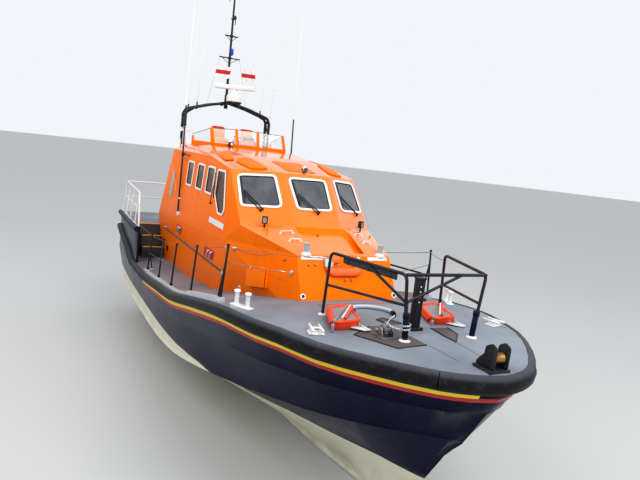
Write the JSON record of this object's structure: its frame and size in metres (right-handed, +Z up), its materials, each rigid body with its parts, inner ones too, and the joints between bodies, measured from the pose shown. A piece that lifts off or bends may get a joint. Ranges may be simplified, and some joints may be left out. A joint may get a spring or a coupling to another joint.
{
  "type": "motor lifeboat",
  "caption": "Decked motor lifeboat with an enclosed wheelhouse, open flybridge, folding mast arch, twin screws and twin rudders.",
  "frame": {"origin": "amidships on the centreline at the level of the waterline", "axes": "+X towards the bow, +Y to port, +Z up"},
  "size_m": [16.0652, 5.1, 11.02],
  "materials": {
    "navy": "gloss",
    "deck_grey": "non-slip matt",
    "orange": "gloss",
    "rubber": "matt",
    "steel": "brushed",
    "bronze": "satin",
    "black_paint": "satin",
    "white_paint": "gloss",
    "seat_black": "cloth",
    "seat_yellow": "cloth",
    "glass": "tinted"
  },
  "bodies": {
    "boat": {"hull": "navy", "keel_band": "steel", "deck": "deck_grey", "bow_fender": "rubber", "aft_quarter": "deck_grey", "deckhouse_trunk": "orange", "wheelhouse_sole": "deck_grey", "wheelhouse": "orange", "wheelhouse_roof": "orange", "windscreen_centre": "glass", "windscreen_starboard": "glass", "windscreen_port": "glass", "helm_console": "seat_black", "crew_seats": "seat_black", "flybridge_coaming": "orange", "pulpit": "black_paint", "tow_post": "black_paint", "windlass": "black_paint", "bow_fairlead": "black_paint", "stern_rail": "white_paint", "bilge_keel_starboard": "navy", "side_fender_starboard": "rubber", "bulwark_starboard": "navy", "quarter_fender_starboard": "rubber", "flybridge_seat_starboard": "seat_yellow", "anchor_starboard": "orange", "bitts_starboard": "white_paint", "side_rail_starboard": "black_paint", "whip_aerial_starboard": "white_paint", "shaft_bracket_starboard": "bronze", "bilge_keel_port": "navy", "side_fender_port": "rubber", "bulwark_port": "navy", "quarter_fender_port": "rubber", "flybridge_seat_port": "seat_yellow", "anchor_port": "orange", "bitts_port": "white_paint", "side_rail_port": "black_paint", "whip_aerial_port": "white_paint", "shaft_bracket_port": "bronze"},
    "mast": {"mast_arch": "black_paint"},
    "radar_scanner": {"radar_scanner": "white_paint"},
    "door": {"wheelhouse_door": "orange"},
    "transom_door": {"transom_door": "navy"},
    "propeller_starboard": {"propeller_starboard": "bronze"},
    "propeller_port": {"propeller_port": "bronze"},
    "rudder_starboard": {"rudder_starboard": "steel"},
    "rudder_port": {"rudder_port": "steel"},
    "windlass_drum": {"windlass_drum": "steel"},
    "bow_roller": {"bow_roller": "bronze"}
  },
  "joints": [
    {"name": "mast_fold", "type": "hinge", "parent": "boat", "child": "mast", "pos_m": [-4.5, 0, 4.52], "axis": [0, -1, 0], "range_deg": [0, 75]},
    {"name": "radar_turn", "type": "hinge", "parent": "mast", "child": "radar_scanner", "pos_m": [-4.07, 0, 6.22], "axis": [0, 0, 1], "continuous": true},
    {"name": "wheelhouse_door_hinge", "type": "hinge", "parent": "boat", "child": "door", "pos_m": [-5.0751, 0.32, 3.1456], "axis": [-0.4053, 0, -0.9142], "range_deg": [0, 100]},
    {"name": "transom_door_hinge", "type": "hinge", "parent": "boat", "child": "transom_door", "pos_m": [-8.05, 0, 1.136], "axis": [0, -1, 0], "range_deg": [0, 95]},
    {"name": "propeller_spin_starboard", "type": "hinge", "parent": "boat", "child": "propeller_starboard", "pos_m": [-6.45, -0.95, -0.85], "axis": [1, 0, 0], "continuous": true},
    {"name": "rudder_turn_starboard", "type": "hinge", "parent": "boat", "child": "rudder_starboard", "pos_m": [-7.25, -0.95, -0.85], "axis": [0, 0, 1], "range_deg": [-35, 35]},
    {"name": "propeller_spin_port", "type": "hinge", "parent": "boat", "child": "propeller_port", "pos_m": [-6.45, 0.95, -0.85], "axis": [1, 0, 0], "continuous": true},
    {"name": "rudder_turn_port", "type": "hinge", "parent": "boat", "child": "rudder_port", "pos_m": [-7.25, 0.95, -0.85], "axis": [0, 0, 1], "range_deg": [-35, 35]},
    {"name": "windlass_turn", "type": "hinge", "parent": "boat", "child": "windlass_drum", "pos_m": [6.29, -0.8, 2.35], "axis": [0, 1, 0], "continuous": true},
    {"name": "bow_roller_turn", "type": "hinge", "parent": "boat", "child": "bow_roller", "pos_m": [7.69, -0.03, 2.39], "axis": [0, 1, 0], "continuous": true}
  ],
  "couplings": [
    {"joint": "rudder_turn_port", "follows": "rudder_turn_starboard", "ratio": 1}
  ]
}
